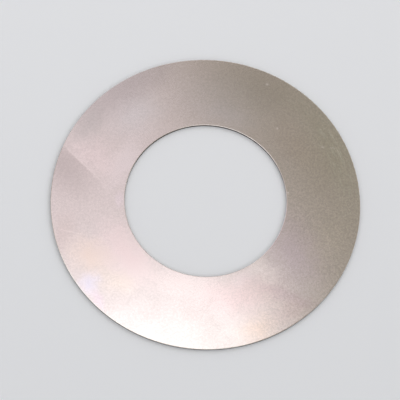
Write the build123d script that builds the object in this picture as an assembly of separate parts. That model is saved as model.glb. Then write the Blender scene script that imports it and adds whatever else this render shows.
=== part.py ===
from build123d import *
import os

# Shim ring: one flat ring blanked out of cold-rolled steel strip in a compound die,
# which cuts the rim and the bore in the same stroke. It lies on z = 0, with the
# bore's axis on Z. All lengths are in millimetres.
outside_diameter = 61.7
bore_diameter = 32.25
thickness = 0.5

# The stroke draws both upper edges over in a narrow curve. Tumbling afterwards
# takes the burr off both lower edges.
roll_over_width = 0.12
roll_over_depth = 0.03
edge_break = 0.03


def cut_edge(wall_radius, outward):
    """Draw one cut edge of the section and return its ends on the two flat faces.

    outward is the way out of the steel: +1 at the rim, -1 in the bore.
    """
    lower_end = (wall_radius - outward * edge_break, 0)
    wall_foot = (wall_radius, edge_break)
    wall_top = (wall_radius, thickness - roll_over_depth)
    upper_end = (wall_radius - outward * roll_over_width, thickness)
    roll_centre = (upper_end[0], wall_top[1])
    first_angle = 0 if outward > 0 else 90

    Polyline(lower_end, wall_foot, wall_top)
    EllipticalCenterArc(
        roll_centre, roll_over_width, roll_over_depth, first_angle, arc_size=90
    )
    return lower_end, upper_end


def shim_ring():
    """The whole ring: the section between its two cut edges, turned round the axis."""
    with BuildPart() as ring:
        with BuildSketch(Plane.XZ):
            with BuildLine():
                bore_lower, bore_upper = cut_edge(bore_diameter / 2, outward=-1)
                rim_lower, rim_upper = cut_edge(outside_diameter / 2, outward=+1)
                Line(bore_lower, rim_lower)
                Line(bore_upper, rim_upper)
            make_face()
        revolve(axis=Axis.Z)
    return ring.part


os.makedirs("parts", exist_ok=True)
export_step(shim_ring(), "parts/shim_ring.step")
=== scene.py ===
import math

import bpy
from mathutils import Matrix, Vector


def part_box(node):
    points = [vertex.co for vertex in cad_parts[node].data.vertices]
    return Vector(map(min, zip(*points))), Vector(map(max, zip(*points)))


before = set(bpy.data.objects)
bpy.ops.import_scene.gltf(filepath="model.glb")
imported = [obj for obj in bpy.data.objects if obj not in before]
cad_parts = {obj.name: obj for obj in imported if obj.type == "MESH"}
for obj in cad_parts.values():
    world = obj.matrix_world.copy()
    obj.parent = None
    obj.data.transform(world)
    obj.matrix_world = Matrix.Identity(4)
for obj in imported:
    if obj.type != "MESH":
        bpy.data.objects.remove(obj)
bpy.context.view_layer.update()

# The shim ring: one flat ring of thin cold-rolled steel, blanked in a compound die
# and tumbled, with nothing fixed to it. It lies loose on the table. Its mesh is the
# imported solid, so this section is its finish alone, and places on it are in
# millimetres from the middle of the bore.
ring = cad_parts["shim_ring"]
millimetres = 1000.0
upper_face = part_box("shim_ring")[1].z * millimetres


def linear(hex_colour):
    """An sRGB hex colour as the linear colour, with alpha, that a socket takes."""
    channels = [int(hex_colour[i:i + 2], 16) / 255 for i in (0, 2, 4)]
    return [c / 12.92 if c <= 0.04045 else ((c + 0.055) / 1.055) ** 2.4 for c in channels] + [1.0]


def node(tree, kind, inputs, **settings):
    """Add one node, with its settings and with its inputs linked or set, and return it."""
    made = tree.nodes.new("ShaderNode" + kind)
    for name, value in settings.items():
        setattr(made, name, value)
    for socket, value in inputs.items():
        if isinstance(value, bpy.types.NodeSocket):
            tree.links.new(value, made.inputs[socket])
        else:
            made.inputs[socket].default_value = value
    return made


# Bright cold-rolled steel, from ground rolls, then tumbled: a soft satin mirror that
# blurs the room. Handling has left it cloudy, with smears and tinted spots.
steel = bpy.data.materials.new("cold_rolled_steel_tumbled")
steel.use_nodes = True
finish = steel.node_tree
surface = finish.nodes["Principled BSDF"]
surface.inputs["Metallic"].default_value = 1.0
metres = node(finish, "TexCoord", {}).outputs["Object"]
place = node(finish, "VectorMath", {0: metres, "Scale": millimetres}, operation="SCALE").outputs[0]

# An oil film never has a true outline: each mark's is pushed about by up to 1.5 mm.
wander = node(finish, "TexNoise", {"Vector": place, "Scale": 0.4, "Detail": 4.0}).outputs["Color"]
push = node(finish, "VectorMath", {0: wander, 1: (-0.5, -0.5, -0.5)}, operation="ADD").outputs[0]
strayed = node(finish, "VectorMath", {0: push, 1: (3.0, 3.0, 0.0), 2: place},
               operation="MULTIPLY_ADD").outputs[0]


def oval(where, centre, half_length, half_width, turn):
    """A soft oval on the upper face: 1 in its middle, falling to 0 at its outline."""
    reach_down = 0.6 * upper_face
    local = node(finish, "Mapping", {"Vector": where, "Location": (*centre, upper_face),
                                     "Rotation": (0, 0, math.radians(turn)),
                                     "Scale": (half_length, half_width, reach_down)},
                 vector_type="TEXTURE")
    ball = node(finish, "TexGradient", {"Vector": local.outputs[0]}, gradient_type="SPHERICAL").outputs["Fac"]
    return node(finish, "MapRange", {"Value": ball}, interpolation_type="SMOOTHSTEP").outputs[0]


def stretch(value, low, high, to_low=0.0, to_high=1.0):
    """A value stretched so that low becomes to_low and high becomes to_high, smoothly."""
    return node(finish, "MapRange", {"Value": value, "From Min": low, "From Max": high,
                                     "To Min": to_low, "To Max": to_high},
                interpolation_type="SMOOTHSTEP").outputs[0]


def times(value, other):
    """One value times another."""
    return node(finish, "Math", {0: value, 1: other}, operation="MULTIPLY").outputs[0]


def stain(colour, amount, tint):
    """Lay a tint over a colour as a film does: white leaves it, and darker takes away."""
    return node(finish, "Mix", {0: amount, 6: colour, 7: linear(tint)}, data_type="RGBA",
                blend_type="MULTIPLY").outputs[2]


def cover(colour, amount, other):
    """Lay another colour over a colour, as a dried deposit or a fresh cut does."""
    return node(finish, "Mix", {0: amount, 6: colour, 7: linear(other)}, data_type="RGBA").outputs[2]


def thicken(film, amount, share):
    """Add a share to the film where the amount is 1. A share below 0 thins it."""
    return node(finish, "Math", {0: amount, 1: share, 2: film}, operation="MULTIPLY_ADD").outputs[0]


# A thin straight line crosses the left of the ring, where a film was wiped: the face is
# brighter above the line, and dull below it next to the rim.
line_start = (-29.1, 8.4)
line_turn = -39.4
line_length = 15.8
along_line = node(finish, "Mapping", {"Vector": place, "Location": (*line_start, 0.0),
                                      "Rotation": (0, 0, math.radians(line_turn))}, vector_type="TEXTURE")
line_axes = node(finish, "SeparateXYZ", {0: along_line.outputs[0]})
above_line = stretch(line_axes.outputs["Y"], -0.2, 0.2)
below_line = stretch(line_axes.outputs["Y"], 0.2, -0.2)

# The skin of oil and oxide that dulls the bright steel, as a share of its most. Clouds
# in it are about 7 mm across.
clouds = node(finish, "TexNoise", {"Vector": strayed, "Scale": 1 / 7.0, "Detail": 3.0}).outputs["Fac"]
film = stretch(clouds, 0.3, 0.7, 0.35, 0.45)

# Where handling has thinned or thickened the skin, and tinted it. Each mark is: middle,
# half length, half width, turn in degrees, share of the skin added, tint.
marks = {
    "rubbed above the line": ((-23.0, 7.0), 9.0, 5.5, -35.0, -0.30, "fffcfd"),
    "blue haze": ((-15.5, 17.0), 9.0, 6.0, 40.0, -0.22, "f7fcff"),
    "dull upper rim": ((-18.5, 23.0), 17.0, 7.2, 40.0, 0.58, "fcfdff"),
    "dull shoulder": ((-25.0, 13.8), 8.0, 4.6, 60.0, 0.30, "fbfefe"),
    "cool top": ((2.0, 22.5), 15.0, 9.0, 0.0, 0.00, "fbfdff"),
    "lilac above the bore": ((3.5, 18.4), 9.5, 4.2, -12.0, -0.32, "f9fbff"),
    "dull far rim": ((10.0, 25.2), 17.0, 6.0, -20.0, 0.26, "fffffd"),
    "clear beside the bore": ((-16.8, 6.5), 10.0, 4.0, 70.0, -0.44, "fcfdff"),
    "yellowish right": ((22.8, 11.0), 13.0, 7.5, 105.0, 0.16, "fffffb"),
    "dark column": ((16.5, 13.5), 9.0, 4.5, -60.0, 0.08, "fffdfb"),
    "thin right": ((25.0, -5.0), 10.0, 7.0, 80.0, -0.05, "fffffd"),
    "lilac smear": ((18.2, -9.5), 13.5, 8.5, -68.0, -0.38, "f8f4ff"),
    "greasy thumb": ((11.9, -13.5), 5.4, 3.4, -30.0, -0.40, "fffdff"),
    "milky smear": ((9.2, -15.6), 4.5, 2.6, 30.0, -0.28, "fdfdff"),
    "dark streak": ((17.0, -18.3), 10.0, 2.4, -17.0, 0.16, "fffbff"),
    "rosy rim": ((18.5, -21.8), 7.0, 4.0, 35.0, 0.03, "fff8fa"),
    "rosy patch": ((8.5, -19.6), 14.0, 6.8, 14.0, -0.28, "fff5f7"),
    "orange rim": ((12.2, -25.8), 6.0, 4.6, 26.0, -0.24, "fff6ef"),
    "warm patch": ((-21.6, -14.2), 7.3, 5.2, -35.0, -0.50, "fff9f1"),
    "straw patch": ((-15.5, -19.0), 5.5, 3.6, -20.0, -0.36, "fffdf7"),
    "pink patch": ((-14.8, -12.8), 11.0, 5.8, -50.0, -0.52, "fff8f9"),
    "pink below the bore": ((-3.5, -17.6), 13.5, 4.6, -8.0, -0.42, "fffdfd"),
    "lilac spot": ((-21.2, -19.8), 3.5, 3.0, 60.0, -0.60, "ffffff"),
    "tail of the spot": ((-19.3, -22.6), 4.0, 1.8, -55.0, -0.25, "fbf6ff"),
    "arc above the spot": ((-21.6, -16.6), 3.5, 1.2, 15.0, 0.10, "ffffff"),
    "dull left": ((-27.5, -10.0), 7.0, 3.5, 75.0, 0.14, "fffcfb"),
    "end of the line": ((-16.9, -1.8), 2.4, 1.6, 80.0, -0.35, "fbfaff"),
}
bare_steel = linear("ebe7e4")
colour = bare_steel
laid = {}
for name, (centre, half_length, half_width, turn, change, tint) in marks.items():
    amount = laid[name] = oval(strayed, centre, half_length, half_width, turn)
    film = thicken(film, amount, change)
    colour = stain(colour, amount, tint)

# The lilac spot is a dried deposit, which hides nine tenths of the steel at its middle.
colour = cover(colour, times(laid["lilac spot"], 0.9), "dfe0ec")

# Below the line, next to the rim, the wiped film lies thick.
wiped = times(oval(place, (-28.5, 4.5), 11.0, 7.5, -50.0), below_line)
film = thicken(film, wiped, 0.55)
colour = stain(colour, wiped, "fefdfd")

# Along the line the film has curdled, and is thinner in beads about 1 mm across.
beads = node(finish, "TexNoise", {"Vector": place, "Scale": 1 / 1.1, "Detail": 1.0}).outputs["Fac"]
along_edge = times(oval(strayed, (-24.5, 7.0), 7.0, 3.5, line_turn), above_line)
curdled = times(along_edge, stretch(beads, 0.45, 0.62))
film = thicken(film, curdled, -0.22)

# The thumb mark has dried paler than the steel, in softer and finer curds.
grease = node(finish, "TexNoise", {"Vector": strayed, "Scale": 1 / 0.8, "Detail": 3.0}).outputs["Fac"]
curds = times(laid["greasy thumb"], stretch(grease, 0.35, 0.65, 0.06, 0.42))
colour = cover(colour, curds, "fbf7f8")

# The mottle of the rolled skin, drawn at twice its real 0.2 mm so that it shows. It is
# stronger on the right, where the ring has been handled most.
mottle = node(finish, "TexNoise", {"Vector": place, "Scale": 1 / 0.4, "Detail": 2.0,
                                   "Roughness": 0.6}).outputs["Fac"]
face_axes = node(finish, "SeparateXYZ", {0: place})
grain = times(stretch(mottle, 0.3, 0.7, -0.14, 0.14), stretch(face_axes.outputs["X"], 8.0, 20.0, 1.0, 1.6))
film = node(finish, "Math", {0: grain, 1: film}, operation="ADD").outputs[0]

# Scuffs that follow the rim, where the rings slid on one another in the drum: strokes
# about 3 mm long and 0.3 mm wide, on the outer third of the face, at the right.
outer_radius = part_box("shim_ring")[1].x * millimetres
level_place = node(finish, "VectorMath", {0: place, 1: (1.0, 1.0, 0.0)}, operation="MULTIPLY").outputs[0]
radius = node(finish, "VectorMath", {0: level_place}, operation="LENGTH").outputs["Value"]
rim_direction = node(finish, "VectorMath", {0: level_place}, operation="NORMALIZE").outputs[0]
outwards = node(finish, "CombineXYZ", {2: times(radius, 1 / 0.3)}).outputs[0]
stroke_axes = node(finish, "VectorMath", {0: rim_direction, 1: (outer_radius / 3.0,) * 3, 2: outwards},
                   operation="MULTIPLY_ADD").outputs[0]
strokes = node(finish, "TexNoise", {"Vector": stroke_axes, "Scale": 1.0, "Detail": 2.0}).outputs["Fac"]
scuffed_side = oval(place, (23.8, 12.7), 21.0, 14.0, 118.0)
near_rim = times(stretch(radius, 0.78 * outer_radius, 0.92 * outer_radius), scuffed_side)
colour = stain(colour, near_rim, "fcfffb")
scuffs = times(stretch(strokes, 0.50, 0.66), near_rim)
film = thicken(film, scuffs, -0.20)
colour = cover(colour, times(scuffs, 0.42), "eff6f2")

# Hairlines from tumbling, in three directions: where a noise drawn out to 14 mm by
# 0.5 mm crosses its middle value, it marks a fine line. They are drawn twice as wide
# as real ones, which would be too fine to show.
hairlines = None
for direction in (8.0, 71.0, 128.0):
    drawn_out = node(finish, "Mapping", {"Vector": place, "Rotation": (0, 0, math.radians(direction)),
                                         "Scale": (14.0, 0.5, 1.0)}, vector_type="TEXTURE")
    ripple = node(finish, "TexNoise", {"Vector": drawn_out.outputs[0], "Scale": 1.0,
                                       "Detail": 1.0}).outputs["Fac"]
    offset = node(finish, "Math", {0: ripple, 1: 0.5}, operation="SUBTRACT").outputs[0]
    distance = node(finish, "Math", {0: offset}, operation="ABSOLUTE").outputs[0]
    thin = stretch(distance, 0.010, 0.0)
    broken = node(finish, "TexNoise", {"Vector": drawn_out.outputs[0], "Scale": 0.37}).outputs["Fac"]
    lines = times(thin, stretch(broken, 0.52, 0.64))
    hairlines = lines if hairlines is None else node(finish, "Math", {0: hairlines, 1: lines},
                                                     operation="MAXIMUM").outputs[0]

# Longer scratches from handling: start, turn in degrees, length and half width. The
# first is the wiped line.
scratches = None
for start, turn, length, half_width in (
    (line_start, line_turn, line_length, 0.30),
    ((-29.0, -9.0), -7.0, 9.5, 0.24),
    ((23.6, 18.6), -71.0, 11.0, 0.22),
    ((25.0, 16.6), -76.0, 7.0, 0.18),
    ((24.4, -4.6), -77.0, 6.0, 0.18),
):
    local = node(finish, "Mapping", {"Vector": place, "Location": (*start, 0.0),
                                     "Rotation": (0, 0, math.radians(turn))}, vector_type="TEXTURE")
    axes = node(finish, "SeparateXYZ", {0: local.outputs[0]})
    across = node(finish, "Math", {0: axes.outputs["Y"]}, operation="ABSOLUTE").outputs[0]
    ends = times(stretch(axes.outputs["X"], 0.0, 1.5), stretch(axes.outputs["X"], length, 0.3 * length))
    line = times(times(stretch(across, half_width, 0.0), ends), stretch(axes.outputs["Z"], 0.2, 0.4))
    scratches = line if scratches is None else node(finish, "Math", {0: scratches, 1: line},
                                                    operation="MAXIMUM").outputs[0]
film = thicken(film, scratches, -0.22)

# The whole film is then laid on. At its most it takes away about a quarter of the light.
colour = stain(colour, film, "dedede")

# Specks of dust, about 0.3 mm across: in cells 3 mm wide, one in twenty holds one.
cells = node(finish, "TexVoronoi", {"Vector": place, "Scale": 1 / 3.0}, voronoi_dimensions="2D")
dice = node(finish, "SeparateColor", {0: cells.outputs["Color"]}).outputs[0]
specks = times(times(stretch(cells.outputs["Distance"], 0.075, 0.03), stretch(dice, 0.94, 0.96)), 0.5)

# Nicks, where something hard has touched the face: middle, half length, half width, turn.
for centre, half_length, half_width, turn in (
    ((24.5, 13.6), 0.80, 0.28, 0.0),
    ((22.6, 13.6), 0.50, 0.35, 0.0),
    ((13.1, 16.8), 0.40, 0.40, 0.0),
    ((10.4, 26.4), 0.60, 0.45, 10.0),
    ((16.2, 3.0), 0.45, 0.35, 60.0),
):
    nick = oval(place, centre, half_length, half_width, turn)
    specks = node(finish, "Math", {0: specks, 1: nick}, operation="MAXIMUM").outputs[0]
colour = cover(colour, times(specks, 0.24), "ffffff")

# The cut walls: sheared steel, torn and dull, darker than the faces, and darkened further with painted shade.
# The narrow edge that the cut turned over, above each wall, is pale and burnished.
upward = node(finish, "SeparateXYZ", {0: node(finish, "NewGeometry", {}).outputs["True Normal"]}).outputs["Z"]
steep = node(finish, "Math", {0: upward}, operation="ABSOLUTE").outputs[0]
cut_wall_and_painted_shade = stretch(steep, 0.90, 0.55)
turned_edge = stretch(steep, 0.998, 0.96)
colour = cover(colour, times(turned_edge, 0.9), "f4f1ee")

# On the far side of the bore, the turned edge is painted dark brown: painted shade, which makes that edge
# read as a dark line.
bore_radius = 16.125
far_side_painted_shade = stretch(face_axes.outputs["Y"], 2.0, 9.0)
bore_edge_painted_shade = times(turned_edge, stretch(radius, bore_radius + 0.5, bore_radius + 0.3))
colour = cover(colour, times(bore_edge_painted_shade, far_side_painted_shade), "7d756f")
# The cut walls' dark colour is partly painted shade: darker than torn steel alone, to stand in for the shade
# they lie in.
colour = cover(colour, cut_wall_and_painted_shade, "5f5856")

# Roughness: the satin of the rolled skin, evener above the line, and rougher at the
# thumb mark, the fine lines, the specks and the cut edges.
rough = stretch(clouds, 0.3, 0.7, 0.166, 0.184)
for amount, roughness in (
    (above_line, 0.176),
    (laid["greasy thumb"], 0.26),
    (hairlines, 0.20),
    (scratches, 0.19),
    (specks, 0.26),
    (turned_edge, 0.32),
    (cut_wall_and_painted_shade, 0.5),
):
    rough = node(finish, "Mix", {0: amount, 2: rough, 3: roughness}).outputs[0]

# Relief: the rolled skin's mottle, and the hairlines cut into it, under a micron deep.
relief = node(finish, "Bump", {"Height": mottle, "Strength": 1.0, "Distance": 0.0000004})
relief = node(finish, "Bump", {"Height": hairlines, "Strength": 1.0, "Distance": 0.0000003,
                               "Normal": relief.outputs[0]}, invert=True)

finish.links.new(colour, surface.inputs["Base Color"])
finish.links.new(rough, surface.inputs["Roughness"])
finish.links.new(relief.outputs[0], surface.inputs["Normal"])
ring.data.materials.clear()
ring.data.materials.append(steel)

# The table: a pale matt board that curves up into a low wall all round, so that it
# backs the ring from every side. It isn't part of the object.
table_radius = 0.80
cove_radius = 0.20
cove_steps = 12
turn_steps = 96
profile = [(table_radius, 0.0)]
for step in range(1, cove_steps + 1):
    angle = math.radians(90) * step / cove_steps
    profile.append((table_radius + cove_radius * math.sin(angle), cove_radius * (1 - math.cos(angle))))
corners = [(0.0, 0.0, 0.0)]
for turn in range(turn_steps):
    angle = 2 * math.pi * turn / turn_steps
    corners += [(reach * math.cos(angle), reach * math.sin(angle), rise) for reach, rise in profile]
faces = []
for turn in range(turn_steps):
    here = 1 + turn * len(profile)
    there = 1 + (turn + 1) % turn_steps * len(profile)
    faces.append((0, here, there))
    faces += [(here + i, here + i + 1, there + i + 1, there + i) for i in range(cove_steps)]
board = bpy.data.meshes.new("table")
board.from_pydata(corners, [], faces)
board.shade_smooth()
table = bpy.data.objects.new("table", board)
bpy.context.scene.collection.objects.link(table)

# White matt board: a paper skin with next to no gloss. It is painted a little paler towards the back: painted
# light, as from the brighter back of the room.
card = bpy.data.materials.new("matt_white_board")
card.use_nodes = True
paper = card.node_tree.nodes["Principled BSDF"]
board_place = node(card.node_tree, "TexCoord", {}).outputs["Object"]
backward = node(card.node_tree, "SeparateXYZ", {0: board_place}).outputs["Y"]
painted_light_share = node(card.node_tree, "MapRange", {"Value": backward, "From Min": -0.05, "From Max": 0.05}).outputs[0]
paper_with_painted_light = node(card.node_tree, "Mix", {0: painted_light_share, 6: linear("eff2f6"), 7: linear("f7fafe")},
                data_type="RGBA").outputs[2]
card.node_tree.links.new(paper_with_painted_light, paper.inputs["Base Color"])
paper.inputs["Roughness"].default_value = 0.9
paper.inputs["Specular IOR Level"].default_value = 0.1
board.materials.append(card)

# The light: two softboxes overhead, which the ring mirrors. They hang at two heights,
# because lamps at one height hide each other where they overlap.
def softbox(name, place, size, turn, radiance, colour):
    """A flat lamp facing down, whose face shines with the given radiance."""
    lamp = bpy.data.lights.new(name, "AREA")
    lamp.shape = "RECTANGLE"
    lamp.size, lamp.size_y = size
    lamp.energy = math.pi * radiance * size[0] * size[1]
    lamp.color = linear(colour)[:3]
    holder = bpy.data.objects.new(name, lamp)
    holder.location = place
    holder.rotation_euler = (0, 0, math.radians(turn))
    bpy.context.scene.collection.objects.link(holder)


softbox("key_box", (-0.155, 0.01, 0.70), (0.48, 0.305), 14.0, 1.05, "ffffff")
softbox("strip_box", (-0.164, 0.367, 0.80), (0.265, 0.55), 28.0, 0.55, "fdecff")

# The room round them has walls that are bright at the back right and grey at the front
# left. Its levels are linear light, because some of them pass 1.
studio = bpy.data.worlds.new("studio")
studio.use_nodes = True
room = studio.node_tree
towards = node(room, "TexCoord", {}).outputs["Generated"]
to_back_right = node(room, "VectorMath", {0: towards, 1: (0.77, 0.64, 0.0)},
                     operation="DOT_PRODUCT").outputs["Value"]
bright_side = node(room, "MapRange", {"Value": to_back_right, "From Min": -0.7, "From Max": 0.6},
                   interpolation_type="SMOOTHSTEP").outputs[0]
walls = node(room, "Mix", {0: bright_side, 6: (0.46, 0.46, 0.47, 1), 7: (1.18, 1.19, 1.21, 1)},
             data_type="RGBA")

# A broad glow high at the back right, as from a window, throws the thin shadows
# forwards to the left.
window_side = math.radians(45)
window_rise = math.radians(43)
window = (math.cos(window_side) * math.cos(window_rise), math.sin(window_side) * math.cos(window_rise),
          math.sin(window_rise))
facing = node(room, "VectorMath", {0: towards, 1: window}, operation="DOT_PRODUCT").outputs["Value"]
glow = node(room, "MapRange", {"Value": facing, "From Min": 0.74, "From Max": 0.95},
            interpolation_type="SMOOTHSTEP").outputs[0]
walls = node(room, "Mix", {0: glow, 6: walls.outputs[2], 7: (1.32, 1.33, 1.36, 1)}, data_type="RGBA")

# The ceiling is pale in front, and dark and warm over the back.
height = node(room, "SeparateXYZ", {0: towards}).outputs["Z"]
ceiling_share = node(room, "MapRange", {"Value": height, "From Min": 0.62, "From Max": 0.82},
                     interpolation_type="SMOOTHSTEP").outputs[0]
depth = node(room, "SeparateXYZ", {0: towards}).outputs["Y"]
over_back = node(room, "MapRange", {"Value": depth, "From Min": -0.50, "From Max": -0.15},
                 interpolation_type="SMOOTHSTEP").outputs[0]
ceiling = node(room, "Mix", {0: over_back, 6: (0.95, 0.95, 0.96, 1), 7: linear("a0988a")}, data_type="RGBA")
light = node(room, "Mix", {0: ceiling_share, 6: walls.outputs[2], 7: ceiling.outputs[2]}, data_type="RGBA")
room.links.new(light.outputs[2], room.nodes["Background"].inputs["Color"])
bpy.context.scene.world = studio

# The camera: a long lens looking steeply down, with the ring's centre a little right
# of the middle and the level tipped by a few degrees.
look_down = math.radians(69.0)
camera_distance = 0.3134
camera_tip = math.radians(4.71)
aim_point = Vector((-0.00113, -0.00003, 0.0))

lens = bpy.data.cameras.new("camera")
lens.sensor_width = 36.0
lens.lens = 141.5
lens.clip_start = 0.01
camera = bpy.data.objects.new("camera", lens)
camera.location = camera_distance * Vector((0.0, -math.cos(look_down), math.sin(look_down)))
level = (aim_point - camera.location).to_track_quat("-Z", "Y").to_matrix()
camera.rotation_euler = (level @ Matrix.Rotation(camera_tip, 3, "Z")).to_euler()
bpy.context.scene.collection.objects.link(camera)
bpy.context.scene.camera = camera
bpy.context.scene.view_settings.view_transform = "Standard"
